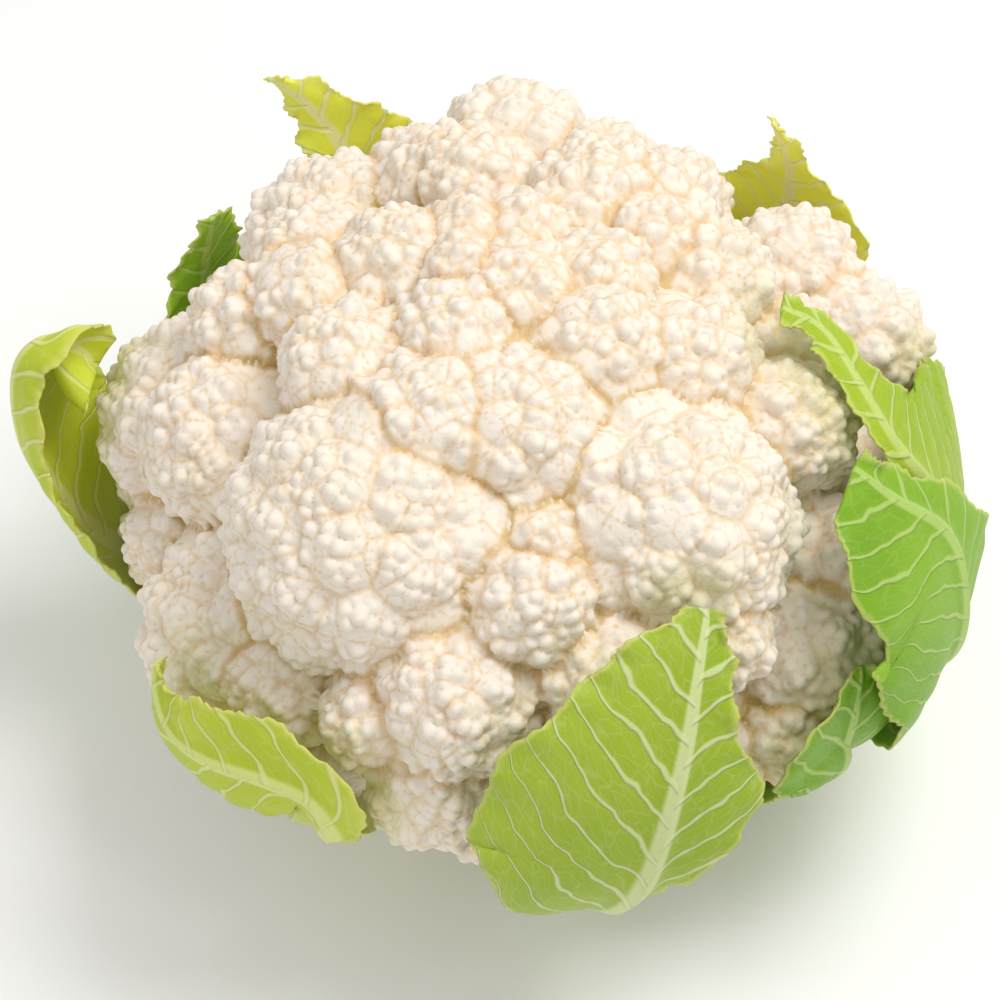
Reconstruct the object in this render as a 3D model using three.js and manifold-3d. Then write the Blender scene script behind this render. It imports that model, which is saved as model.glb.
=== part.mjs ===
// A head of cauliflower: one white curd of fused florets on a stout cut stalk, held in nine leaves.
// Millimetres, +Z up. The origin is the middle of the stalk's flat cut face, on which the head stands.
// Angles are in degrees. "around" is counted from +X towards +Y, and "down" from the top of the curd.

import * as THREE from "three";
import { mergeVertices } from "three/addons/utils/BufferGeometryUtils.js";
import Module from "manifold-3d";

const wasm = await Module();
wasm.setup();

// The curd's envelope is an ellipsoid: its reach sideways, its rise above and drop below its middle.
const CURD_REACH = 86;
const CURD_RISE = 66;
const CURD_DROP = 42;
const CURD_MIDDLE = 60;

// The stalk: its height up to the curd, its radius at its cut face and at its top, how much thicker it is
// between them and over what height it grows so thick. Then the gap in which the curd meets it.
const STALK_HEIGHT = 15;
const STALK_RADIUS = 21;
const STALK_BULGE = 2;
const STALK_SLOPE = 4;
const STALK_SIDES = 25;
const FITTING_GAP = 0.3;

// The core between the florets, as a share of the envelope. Then the branches: how far down a floret has
// one, its radius at the root and as a share of the floret's, and the ring on which the roots stand.
const CORE_SHARE = 0.8;
const BRANCH_FROM_DOWN = 104;
const BRANCH_ROOT_RADIUS = 6;
const BRANCH_TOP_SHARE = 0.7;
const BRANCH_ROOT_RING = 12;

// A floret's nodules, as shares of the floret's radius: how high they stand, how deep the creases between
// them are, and how uneven their tops are. Then how far a nodule reaches in radians, how much closer
// together they stand at the floret's outer side, and the turn from one floret's pattern to the next.
const NODULE_HEIGHT = 1.12;
const CREASE_DEPTH = 0.2;
const NODULE_UNEVENNESS = 0.06;
const NODULE_REACH = 0.37;
const NODULE_SQUEEZE = 0.3;
const SPIN_STEP = 2.4;
const CURD_DETAIL = 20;

// Every floret as around, down, radius and how far it stands proud of the envelope (less than 0: sunk).
const FLORETS = [
  // the fine ones at the top
  [90, 2, 9, 0], [26, 13, 8.5, 0], [-32, 14, 10.5, 0], [-150, 11, 9.5, 0], [153, 9, 6, 0],
  [120, 15, 6.5, 0], [88, 14, 6.5, 0],
  // the upper ring
  [-13, 27, 11, 0], [19, 32, 10.5, 2], [36, 25, 9, 1], [66, 28, 12.5, 3], [51, 35, 10.5, 3],
  [103, 32, 10, 1], [147, 22, 11, 0], [-165, 28, 12, 0], [-123, 25, 13, 2], [-91, 21, 14.5, 0],
  // the middle ring
  [91, 53, 16, 7], [111, 54, 8, 1], [129, 60, 18, 1], [167, 48, 11, 0], [-128, 46, 26.5, 4],
  [-84, 41, 7.5, -6], [-88, 50, 11.5, -2], [-52, 44, 22.5, 3], [-15, 47, 12.5, 0], [5, 45, 9.5, -2],
  [72, 46, 12, 1], [109, 43, 12, 0], [150, 40, 12, 0], [165, 35, 10, 0],
  // the widest ring
  [35, 65, 14, 3], [19, 72, 15.5, 5], [170, 79, 21, 1], [-174, 60, 16, -2], [-171, 90, 9, -6],
  [-147, 96, 21.5, -2],
  [-130, 84, 11.5, -4], [-114, 77, 9, -3], [-100, 69, 14.5, 0], [-75, 67, 13.5, 0],
  [-55, 65, 9.5, -3], [-36, 89, 17, 0], [-25, 74, 11.5, -2],
  // the back, and the ones under the widest ring
  [-2, 84, 13, 0], [38, 93, 12, 0], [62, 66, 13, 0], [63, 92, 14, 0], [88, 82, 14, 1],
  [112, 84, 14, 0], [138, 92, 14, 0], [-103, 91, 12.5, 0], [-47, 101, 10, 0],
  [-78, 93, 14, 0],
  // the lowest ring, on branches of their own
  [-12, 107, 14, 0], [24, 113, 14, 0], [62, 115, 14, 0], [100, 112, 15, 0], [146, 117, 14, 0],
  [-178, 112, 14, 0], [-128, 113, 14, 0], [-93, 115, 14, 0], [-58, 113, 14, 0],
];

// A leaf's blade: its thickness, the teeth of its edge, its steps along and its places across, the height
// and half-width of its midrib at the stalk and at the tip, and its least distance from the florets.
const BLADE_THICKNESS = 1.1;
const LEAF_TOOTH = 0.9;
const LEAF_STEPS = 15;
const LEAF_SIDES = [-1, -0.7, -0.4, -0.12, 0, 0.12, 0.4, 0.7, 1];
const RIB_HEIGHT_AT_ROOT = 5;
const RIB_HEIGHT_AT_TIP = 0.4;
const RIB_REACH_AT_ROOT = 9;
const RIB_REACH_AT_TIP = 1.5;
const LEAF_CLEARANCE = 1.6;

// Each leaf from the stalk to its tip. A row is around and down, where the midrib runs, its distance from
// the envelope, and the widths of the blade to its left and right as seen from outside, tip up. A ruffle
// is the height of the waves along its edges, and a tuck is how much nearer to the curd an edge lies.
const LEAVES = {
  leaf_front: {
    rows: [
      [-84, 165, 9, 6.5, 6.5], [-82, 140, 9, 8, 8], [-79, 114, 8, 13, 7], [-76, 93, 8, 32, 9],
      [-72.5, 78, 7, 33, 18], [-68.5, 66, 5.5, 22, 8], [-65.5, 59, 4.5, 14, 7], [-62, 53, 3.5, 3, 2],
    ],
    ruffle: 1, waves: 4,
  },
  leaf_front_right: {
    rows: [
      [-49, 165, 9, 6.5, 6.5], [-48, 140, 6, 10, 10], [-46, 118, 0.5, 9, 16], [-44, 102, 0.5, 13, 19],
      [-44, 90, 0.5, 17, 13], [-41, 77, 1, 2, 2],
    ],
    ruffle: 0.8, waves: 4,
  },
  leaf_right_outer: {
    rows: [
      [-13, 165, 9, 6.5, 6.5], [-13, 140, 9, 13, 13], [-18, 117, 5, 18, 19], [-22, 100, 6, 22, 25],
      [-22, 84, 7, 31, 20], [-22, 69, 7.5, 32, 9], [-27, 57, 7, 22, 6], [-29, 50, 7, 10, 3],
    ],
    ruffle: 1, waves: 3,
  },
  leaf_right_inner: {
    rows: [
      [23, 165, 9, 6.5, 6.5], [19, 140, 8, 14, 15], [9, 115, 4, 18, 26], [-3, 95, 3, 16, 34],
      [-13, 78, 3, 9, 34], [-16, 65, 3, 6, 29], [-16, 55, 3, 5, 20], [-11, 47, 3, 5, 7], [-4, 40, 3, 5, 5],
      [-3, 34, 3, 3, 3],
    ],
    ruffle: 0.6, waves: 5,
  },
  leaf_back_right: {
    rows: [
      [60, 165, 9, 6.5, 6.5], [59, 140, 10, 15, 15], [56, 115, 8, 24, 22], [53, 95, 7, 26, 22],
      [51, 80, 8, 20, 12], [50, 71, 9, 9, 5], [50, 65, 10, 3, 2.5], [51, 59, 12, 0.8, 0.8],
    ],
    ruffle: 0.8, waves: 4,
  },
  leaf_back: {
    rows: [
      [100, 165, 9, 6.5, 6.5], [102, 140, 8, 15, 15], [106, 115, 4, 26, 24], [110, 95, 3, 28, 24],
      [113, 83, 4, 22, 16], [115, 75, 5, 15, 9], [117, 70, 10, 9, 6], [120, 66, 16, 4, 3],
      [123, 64, 21, 0.8, 0.8],
    ],
    ruffle: 0.8, waves: 4,
  },
  leaf_back_left: {
    rows: [
      [137, 165, 9, 6.5, 6.5], [138, 140, 9, 14, 13], [139, 115, 5, 18, 17], [139, 98, 4, 16, 15],
      [139, 86, 3.5, 11, 10], [139, 77, 3.5, 8, 5], [139, 71, 4, 2, 2],
    ],
    ruffle: 0.8, waves: 4,
  },
  leaf_left: {
    rows: [
      [177, 165, 9, 6.5, 6.5], [178, 140, 9, 13, 13], [179, 118, 5, 20, 14], [179, 103, 6, 24, 12],
      [178, 92, 9, 26, 11], [176, 83, 15, 25, 9], [173, 74, 19, 19, 7], [171, 70, 16, 14, 6],
      [169, 72, 9, 8, 5], [168, 77, 3, 1, 1],
    ],
    ruffle: 0.6, waves: 4, leftTuck: 11, rightTuck: 5,
  },
  leaf_front_left: {
    rows: [
      [-121, 165, 9, 6.5, 6.5], [-120, 142, 2, 9, 7], [-118, 121, 0, 9, 5], [-116, 106, 0, 9, 4],
      [-114, 94, 1, 11, 6], [-116, 85, 3, 14, 10], [-122, 83, 5, 15, 12], [-129, 84, 7, 15, 12],
      [-135, 84.5, 7, 12, 9], [-139, 81, 6, 6, 5], [-141, 77, 5, 1, 1],
    ],
    ruffle: 0.6, waves: 4, leftTuck: 4,
  },
};

// Geometry helpers

const radians = THREE.MathUtils.degToRad;

// A direction from the curd's middle.
function heading(around, down) {
  const level = Math.sin(radians(down));
  const [x, y] = [Math.cos(radians(around)), Math.sin(radians(around))];
  return new THREE.Vector3(level * x, level * y, Math.cos(radians(down)));
}

// A point on the envelope, or on one that is smaller by an inset.
function onEnvelope(around, down, inset) {
  const way = heading(around, down);
  const upright = way.z >= 0 ? CURD_RISE : CURD_DROP;
  way.multiply(new THREE.Vector3(CURD_REACH - inset, CURD_REACH - inset, upright - inset));
  way.z += CURD_MIDDLE;
  return way;
}

function toSolid(geometry) {
  const plain = geometry.clone();
  plain.deleteAttribute("normal");
  plain.deleteAttribute("uv");
  const merged = mergeVertices(plain, 1e-4);
  return new wasm.Manifold(new wasm.Mesh({
    numProp: 3,
    vertProperties: new Float32Array(merged.attributes.position.array),
    triVerts: new Uint32Array(merged.index.array),
  }));
}

function toGeometry(solid) {
  const mesh = solid.getMesh();
  const geometry = new THREE.BufferGeometry();
  geometry.setAttribute("position", new THREE.BufferAttribute(mesh.vertProperties, 3));
  geometry.setIndex(new THREE.BufferAttribute(mesh.triVerts, 1));
  return geometry;
}

// The florets

// The tops of 32 nodules round a ball: the corners and the face centres of an icosahedron.
function evenTops() {
  const corners = new THREE.IcosahedronGeometry(1, 0).attributes.position;
  const tops = [];
  for (let face = 0; face < corners.count; face += 3) {
    const centre = new THREE.Vector3();
    for (let corner = face; corner < face + 3; corner += 1) {
      const point = new THREE.Vector3().fromBufferAttribute(corners, corner);
      centre.add(point);
      if (!tops.some((top) => top.distanceTo(point) < 0.01)) tops.push(point);
    }
    tops.push(centre.normalize());
  }
  return tops;
}

const EVEN_TOPS = evenTops();

// A floret as a ball of nodules: its centre from the curd's middle, its radius, and for each nodule the
// way to its top and the share of the radius at which that top stands.
function floretBall([around, down, radius, lift], serial) {
  const outward = heading(around, down);
  const east = new THREE.Vector3(-Math.sin(radians(around)), Math.cos(radians(around)), 0);
  const north = new THREE.Vector3().crossVectors(outward, east);
  const centre = onEnvelope(around, down, radius - lift);
  centre.z -= CURD_MIDDLE;
  const tops = EVEN_TOPS.map((top) => {
    const tilt = Math.acos(top.z);
    const squeezed = tilt - NODULE_SQUEEZE * tilt * (1 - tilt / Math.PI);
    const turn = Math.atan2(top.y, top.x) + SPIN_STEP * serial;
    const way = outward.clone().multiplyScalar(Math.cos(squeezed));
    way.addScaledVector(east, Math.sin(squeezed) * Math.cos(turn));
    way.addScaledVector(north, Math.sin(squeezed) * Math.sin(turn));
    const wave = Math.sin(40 * top.x + 25 * top.y + 9 * top.z + serial);
    return { way, height: NODULE_HEIGHT - NODULE_UNEVENNESS * (0.5 + 0.5 * wave) };
  });
  return { centre, radius, tops };
}

// How far a ball of nodules reaches from its centre: the highest of its domes in that direction.
function ballReach(ball, way) {
  const domes = ball.tops.map(({ way: top, height }) => {
    const gapSquared = 2 - 2 * way.dot(top);
    return height - CREASE_DEPTH * gapSquared / NODULE_REACH ** 2;
  });
  return ball.radius * Math.max(...domes);
}

// Where a line from the curd's middle leaves a ball of nodules, or 0 if it passes it by. The line is first
// cut with a plain ball and then with one that is as large as the nodule which it met.
function exitFrom(ball, way) {
  const middle = way.dot(ball.centre);
  const passing = ball.centre.lengthSq() - middle ** 2;
  let reach = NODULE_HEIGHT * ball.radius;
  let exit = 0;
  for (let look = 0; look < 3; look += 1) {
    if (reach ** 2 <= passing) return 0;
    exit = middle + Math.sqrt(reach ** 2 - passing);
    reach = ballReach(ball, way.clone().multiplyScalar(exit).sub(ball.centre).normalize());
  }
  return exit;
}

// The curd: a relief round its middle. In each direction it reaches as far as the outermost floret there,
// or to the core between the florets, and a flat spot under it meets the top of the stalk.
function curdRelief() {
  const balls = FLORETS.map(floretBall);
  const relief = new THREE.IcosahedronGeometry(1, CURD_DETAIL);
  const spots = relief.attributes.position;
  const depth = CURD_MIDDLE - STALK_HEIGHT - FITTING_GAP;
  for (let i = 0; i < spots.count; i += 1) {
    const way = new THREE.Vector3().fromBufferAttribute(spots, i).normalize();
    const upright = way.z >= 0 ? CURD_RISE : CURD_DROP;
    const envelope = 1 / Math.hypot(way.x / CURD_REACH, way.y / CURD_REACH, way.z / upright);
    let reach = Math.max(CORE_SHARE * envelope, ...balls.map((ball) => exitFrom(ball, way)));
    const overStalk = way.z < 0 && Math.hypot(way.x, way.y) / -way.z < STALK_RADIUS / depth;
    if (overStalk) reach = depth / -way.z;
    spots.setXYZ(i, way.x * reach, way.y * reach, CURD_MIDDLE + way.z * reach);
  }
  return toSolid(relief);
}

// A branch from the top of the stalk into one of the lowest florets.
function branch([around, down, radius, lift]) {
  const root = new THREE.Vector3(BRANCH_ROOT_RING, 0, STALK_HEIGHT + FITTING_GAP + BRANCH_ROOT_RADIUS);
  root.applyAxisAngle(new THREE.Vector3(0, 0, 1), radians(around));
  const head = onEnvelope(around, down, radius - lift);
  const along = head.clone().sub(root);
  const rod = new THREE.CylinderGeometry(BRANCH_TOP_SHARE * radius, BRANCH_ROOT_RADIUS, along.length(), 7);
  const rodAxis = new THREE.Vector3(0, 1, 0);
  rod.applyQuaternion(new THREE.Quaternion().setFromUnitVectors(rodAxis, along.normalize()));
  rod.translate((root.x + head.x) / 2, (root.y + head.y) / 2, (root.z + head.z) / 2);
  return toSolid(rod);
}

function curdGeometry() {
  const branches = FLORETS.filter((row) => row[1] >= BRANCH_FROM_DOWN).map(branch);
  return toGeometry(branches.reduce((curd, limb) => curd.add(limb), curdRelief()));
}

// The stalk: a short stout stem with a flat cut face under it.
function stalkGeometry() {
  const corners = [];
  for (let i = 0; i < STALK_SIDES; i += 1) {
    const turn = 2 * Math.PI * i / STALK_SIDES;
    corners.push(new THREE.Vector2(STALK_RADIUS * Math.cos(turn), STALK_RADIUS * Math.sin(turn)));
  }
  const stem = new THREE.ExtrudeGeometry(new THREE.Shape(corners), {
    depth: STALK_HEIGHT - 2 * STALK_SLOPE,
    bevelSize: STALK_BULGE,
    bevelThickness: STALK_SLOPE,
    bevelSegments: 1,
  });
  return stem.translate(0, 0, STALK_SLOPE);
}

// The leaves

// A value between the rows of a table: a smooth curve through them, from 0 at the first to 1 at the last.
function smoothRow(rows, along) {
  const place = along * (rows.length - 1);
  const row = Math.min(Math.floor(place), rows.length - 2);
  const t = place - row;
  const before = rows[row - 1] ?? rows[0].map((value, k) => 2 * value - rows[1][k]);
  const after = rows[row + 2] ?? rows.at(-1).map((value, k) => 2 * value - rows.at(-2)[k]);
  return rows[row].map((value, k) => {
    const next = rows[row + 1][k];
    const leaving = (next - before[k]) / 2;
    const arriving = (after[k] - value) / 2;
    const bend = 3 * (next - value) - 2 * leaving - arriving;
    const twist = 2 * (value - next) + leaving + arriving;
    return value + t * (leaving + t * (bend + t * twist));
  });
}

// The way out of the envelope at a point, square to it.
function outwardAt(point) {
  const upright = point.z >= CURD_MIDDLE ? CURD_RISE : CURD_DROP;
  const slope = new THREE.Vector3(point.x, point.y, point.z - CURD_MIDDLE);
  slope.divide(new THREE.Vector3(CURD_REACH ** 2, CURD_REACH ** 2, upright ** 2));
  return slope.normalize();
}

// A point laid on the envelope, in line with the curd's middle.
function laidOnEnvelope(point) {
  const upright = point.z >= CURD_MIDDLE ? CURD_RISE : CURD_DROP;
  const arm = new THREE.Vector3(point.x, point.y, point.z - CURD_MIDDLE);
  const level = Math.hypot(arm.x / CURD_REACH, arm.y / CURD_REACH, arm.z / upright);
  arm.divideScalar(level);
  arm.z += CURD_MIDDLE;
  return arm;
}

// How far a point has to go along a direction to be a clearance away from every floret.
function climbOverFlorets(point, outward) {
  let climb = 0;
  FLORETS.forEach(([around, down, radius, lift]) => {
    const arm = point.clone().sub(onEnvelope(around, down, radius - lift));
    const along = arm.dot(outward);
    const room = along ** 2 - arm.lengthSq() + (NODULE_HEIGHT * radius + LEAF_CLEARANCE) ** 2;
    if (room > 0) climb = Math.max(climb, Math.sqrt(room) - along);
  });
  return climb;
}

// The middle of a blade's thickness at a share of its length and at a side from -1, left, to 1, right.
function bladePoint(leaf, along, side, tooth) {
  const [around, down, lift, left, right] = smoothRow(leaf.rows, along);
  const root = onEnvelope(around, down, 0);
  const [aroundAhead, downAhead] = smoothRow(leaf.rows, Math.min(along + 0.02, 1));
  const [aroundBehind, downBehind] = smoothRow(leaf.rows, Math.max(along - 0.02, 0));
  const ahead = onEnvelope(aroundAhead, downAhead, 0).sub(onEnvelope(aroundBehind, downBehind, 0));
  const across = new THREE.Vector3().crossVectors(ahead, outwardAt(root)).normalize();
  const width = side < 0 ? left : right;
  const reach = Math.abs(side) * width + (Math.abs(side) === 1 ? tooth : 0);
  const tuck = (side < 0 ? leaf.leftTuck : leaf.rightTuck) ?? 0;
  const wave = leaf.ruffle * (1 + Math.sin(2 * Math.PI * leaf.waves * along + 2 * side));
  const proud = lift + (wave - tuck) * side ** 2;
  const point = laidOnEnvelope(root.addScaledVector(across, Math.sign(side) * reach));
  const outward = outwardAt(point);
  const climb = climbOverFlorets(point, outward);
  return point.addScaledVector(outward, Math.max(proud, climb));
}

// A leaf: a thin toothed blade with a thick midrib, the same triangles on both of its faces.
function leafGeometry(leaf) {
  const middle = [];
  for (let i = 0; i <= LEAF_STEPS; i += 1) {
    const tooth = i % 2 === 0 ? -LEAF_TOOTH : LEAF_TOOTH;
    middle.push(LEAF_SIDES.map((side) => bladePoint(leaf, i / LEAF_STEPS, side, tooth)));
  }
  const lastSide = LEAF_SIDES.length - 1;
  const inner = [];
  const outer = [];
  middle.forEach((row, i) => {
    const along = i / LEAF_STEPS;
    const [, , , left, right] = smoothRow(leaf.rows, along);
    const ribHeight = THREE.MathUtils.lerp(RIB_HEIGHT_AT_ROOT, RIB_HEIGHT_AT_TIP, Math.sqrt(along));
    const ribReach = THREE.MathUtils.lerp(RIB_REACH_AT_ROOT, RIB_REACH_AT_TIP, Math.sqrt(along));
    row.forEach((point, j) => {
      const ahead = middle[Math.min(i + 1, LEAF_STEPS)][j].clone().sub(middle[Math.max(i - 1, 0)][j]);
      const across = row[Math.min(j + 1, lastSide)].clone().sub(row[Math.max(j - 1, 0)]);
      const outward = across.cross(ahead).normalize();
      const away = Math.abs(LEAF_SIDES[j]) * (LEAF_SIDES[j] < 0 ? left : right);
      const rib = ribHeight * Math.max(0, 1 - away / ribReach);
      inner.push(point.clone().addScaledVector(outward, -BLADE_THICKNESS / 2));
      outer.push(point.clone().addScaledVector(outward, BLADE_THICKNESS / 2 + rib));
    });
  });
  const columns = lastSide + 1;
  const faces = [];
  const shift = inner.length;
  for (let i = 0; i < LEAF_STEPS; i += 1) {
    for (let j = 0; j < lastSide; j += 1) {
      const a = i * columns + j;
      const [b, c, d] = [a + 1, a + columns + 1, a + columns];
      faces.push(a, c, b, a, d, c, shift + a, shift + b, shift + c, shift + a, shift + c, shift + d);
    }
  }
  const rim = [];
  for (let j = 0; j < lastSide; j += 1) rim.push(j);
  for (let i = 0; i < LEAF_STEPS; i += 1) rim.push(i * columns + lastSide);
  for (let j = lastSide; j > 0; j -= 1) rim.push(LEAF_STEPS * columns + j);
  for (let i = LEAF_STEPS; i > 0; i -= 1) rim.push(i * columns);
  rim.forEach((a, k) => {
    const b = rim[(k + 1) % rim.length];
    faces.push(a, b, shift + b, a, shift + b, shift + a);
  });
  const geometry = new THREE.BufferGeometry();
  const spots = [...inner, ...outer].flatMap((point) => point.toArray());
  geometry.setAttribute("position", new THREE.BufferAttribute(new Float32Array(spots), 3));
  geometry.setIndex(faces);
  return geometry;
}

function material(color, roughness) {
  return new THREE.MeshStandardMaterial({ color, roughness, metalness: 0 });
}

function piece(name, geometry, finish) {
  const mesh = new THREE.Mesh(geometry, finish);
  mesh.name = name;
  return mesh;
}

const cauliflower = new THREE.Group();
cauliflower.add(piece("curd", curdGeometry(), material(0xf4ecdc, 0.6)));
cauliflower.add(piece("stalk", stalkGeometry(), material(0xdfe6b4, 0.6)));
Object.entries(LEAVES).forEach(([name, leaf]) => {
  cauliflower.add(piece(name, leafGeometry(leaf), material(0x9ccc2c, 0.5)));
});

export default cauliflower;
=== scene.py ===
import math

import bpy
import numpy as np
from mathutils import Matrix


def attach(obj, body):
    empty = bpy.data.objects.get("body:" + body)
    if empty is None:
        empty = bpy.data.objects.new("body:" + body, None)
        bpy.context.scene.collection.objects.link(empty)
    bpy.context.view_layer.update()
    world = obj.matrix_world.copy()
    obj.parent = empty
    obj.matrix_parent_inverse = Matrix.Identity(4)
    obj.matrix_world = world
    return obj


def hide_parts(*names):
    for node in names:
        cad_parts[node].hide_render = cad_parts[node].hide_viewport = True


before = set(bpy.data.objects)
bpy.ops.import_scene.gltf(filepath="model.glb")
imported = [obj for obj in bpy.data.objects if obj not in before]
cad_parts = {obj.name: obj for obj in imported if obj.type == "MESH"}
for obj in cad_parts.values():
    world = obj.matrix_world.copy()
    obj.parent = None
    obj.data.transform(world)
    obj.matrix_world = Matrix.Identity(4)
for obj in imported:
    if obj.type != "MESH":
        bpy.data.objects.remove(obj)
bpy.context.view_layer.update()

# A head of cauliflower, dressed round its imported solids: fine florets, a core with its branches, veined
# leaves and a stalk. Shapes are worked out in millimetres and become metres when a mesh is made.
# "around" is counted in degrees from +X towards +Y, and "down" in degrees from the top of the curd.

METRES = 0.001

# The curd's envelope, the stalk and the core, as in the solids.
CURD_REACH = 86.0
CURD_RISE = 66.0
CURD_DROP = 42.0
CURD_MIDDLE = 60.0
STALK_HEIGHT = 15.0
STALK_RADIUS = 21.0
CORE_SHARE = 0.8
BRANCH_FROM_DOWN = 104
BRANCH_ROOT_RADIUS = 6.0
BRANCH_TOP_SHARE = 0.7
BRANCH_ROOT_RING = 12.0

# A floret's large nodules, as in the solids.
NODULE_HEIGHT = 1.12
CREASE_DEPTH = 0.2
NODULE_UNEVENNESS = 0.06
NODULE_REACH = 0.37
NODULE_SQUEEZE = 0.3
SPIN_STEP = 2.4

# The finer nodules that stand on the large ones, and those of the core: their spacing, how deep the creases
# between them are, and how uneven they are in height and place. The spacing of the candidates that they are
# chosen from, and the least distance between two nodules, are shares of the spacing.
MIDDLE_SPACING = 8.2
MIDDLE_DEPTH = 1.7
FINE_SPACING = 2.8
FINE_DEPTH = 0.75
FINE_UNEVENNESS = 0.2
SCATTER = 0.34
CANDIDATE_SHARE = 0.5
CLOSEST_SHARE = 0.8
CORE_SPACING = 5.0
CORE_DEPTH = 1.1
CORE_UNEVENNESS = 0.3
CORE_ROWS = 60

# The seeds of the random draws.
MIDDLE_SEED = 100
FINE_SEED = 300
HEIGHT_SEED = 7
CORE_SEED = 99

# How softly florets grow into each other, at the sides and at the top, and between which heights that
# changes. How far a floret sinks where a neighbour lies over it, and the groove along which they meet. How
# much wider than its solid a floret spreads below its unchanged top.
BLEND = 1.35
TOP_BLEND = 2.7
TOP_BLEND_HEIGHTS = (96, 112)
SINK = 2.5
GROOVE_DEPTH = 1.3
GROOVE_WIDTH = 0.9
SPREAD = 1.05

# How their meeting is found: the steps taken, how much of the envelope's own way outwards is mixed in, and
# the least cosine of a slant that a step is divided by. A point goes from shown to hidden between the two
# cosines, or between the two logarithms of the sum, and sinks between the two depths below a neighbour. A
# nodule's top may be no more than so far below one and no more than so hidden.
MEETING_STEPS = 8
ENVELOPE_SHARE = 0.05
LEAST_SLANT = 0.35
SLANT_HIDES = (0.45, 0.15)
UNSETTLED_HIDES = (0.3, 1.1)
DEPTH_SINKS = (0.35, 1.85)
TOP_BELOW = 0.05
TOP_HIDDEN = 0.3

# The large nodules' mean reach as a share of the radius, and how much of their relief is kept.
MEAN_REACH = 1.06
LARGE_SHARE = 0.6

# How far from their lines the marks for painted shade and light reach, in millimetres.
CREASE_REACH = 0.3
LARGE_FOLD_REACH = 0.6
MIDDLE_FOLD_REACH = 0.5
MEETING_REACH = 1.0
# The reach of the painted light bounced off the leaves onto the florets, and the step between the leaf points
# used for it.
LEAF_BOUNCE_REACH = 9.0
LEAF_POINT_STEP = 37
LARGE_FOLD_SHARE = 0.8

# Between which heights above the core the meeting of florets goes from shallow to deep, where its painted
# shade grows and turns olive.
DEEP_HEIGHTS = (11, 3)

# The triangles of a floret: their size where it faces outwards, how much closer they lie there, and the
# fewest rows of them that each face of the icosahedron is cut into.
FLORET_EDGE = 0.5
FACING_OUT = 0.6
LEAST_ROWS = 8

# Every floret as around, down, radius and how far it stands proud of the envelope (less than 0: sunk).
FLORETS = {
    "curd_top": [
        (90, 2, 9, 0), (26, 13, 8.5, 0), (-32, 14, 10.5, 0), (-150, 11, 9.5, 0), (153, 9, 6, 0),
        (120, 15, 6.5, 0), (88, 14, 6.5, 0),
    ],
    "curd_upper_ring": [
        (-13, 27, 11, 0), (19, 32, 10.5, 2), (36, 25, 9, 1), (66, 28, 12.5, 3), (51, 35, 10.5, 3),
        (103, 32, 10, 1), (147, 22, 11, 0), (-165, 28, 12, 0), (-123, 25, 13, 2), (-91, 21, 14.5, 0),
    ],
    "curd_middle_ring": [
        (91, 53, 16, 7), (111, 54, 8, 1), (129, 60, 18, 1), (167, 48, 11, 0), (-128, 46, 26.5, 4),
        (-84, 41, 7.5, -6), (-88, 50, 11.5, -2), (-52, 44, 22.5, 3), (-15, 47, 12.5, 0), (5, 45, 9.5, -2),
        (72, 46, 12, 1), (109, 43, 12, 0), (150, 40, 12, 0), (165, 35, 10, 0),
    ],
    "curd_widest_ring": [
        (35, 65, 14, 3), (19, 72, 15.5, 5), (170, 79, 21, 1), (-174, 60, 16, -2), (-171, 90, 9, -6),
        (-147, 96, 21.5, -2),
        (-130, 84, 11.5, -4), (-114, 77, 9, -3), (-100, 69, 14.5, 0), (-75, 67, 13.5, 0),
        (-55, 65, 9.5, -3), (-36, 89, 17, 0), (-25, 74, 11.5, -2),
    ],
    "curd_back_ring": [
        (-2, 84, 13, 0), (38, 93, 12, 0), (62, 66, 13, 0), (63, 92, 14, 0), (88, 82, 14, 1),
        (112, 84, 14, 0), (138, 92, 14, 0), (-103, 91, 12.5, 0), (-47, 101, 10, 0),
        (-78, 93, 14, 0),
    ],
    "curd_lowest_ring": [
        (-12, 107, 14, 0), (24, 113, 14, 0), (62, 115, 14, 0), (100, 112, 15, 0), (146, 117, 14, 0),
        (-178, 112, 14, 0), (-128, 113, 14, 0), (-93, 115, 14, 0), (-58, 113, 14, 0),
    ],
}

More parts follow.
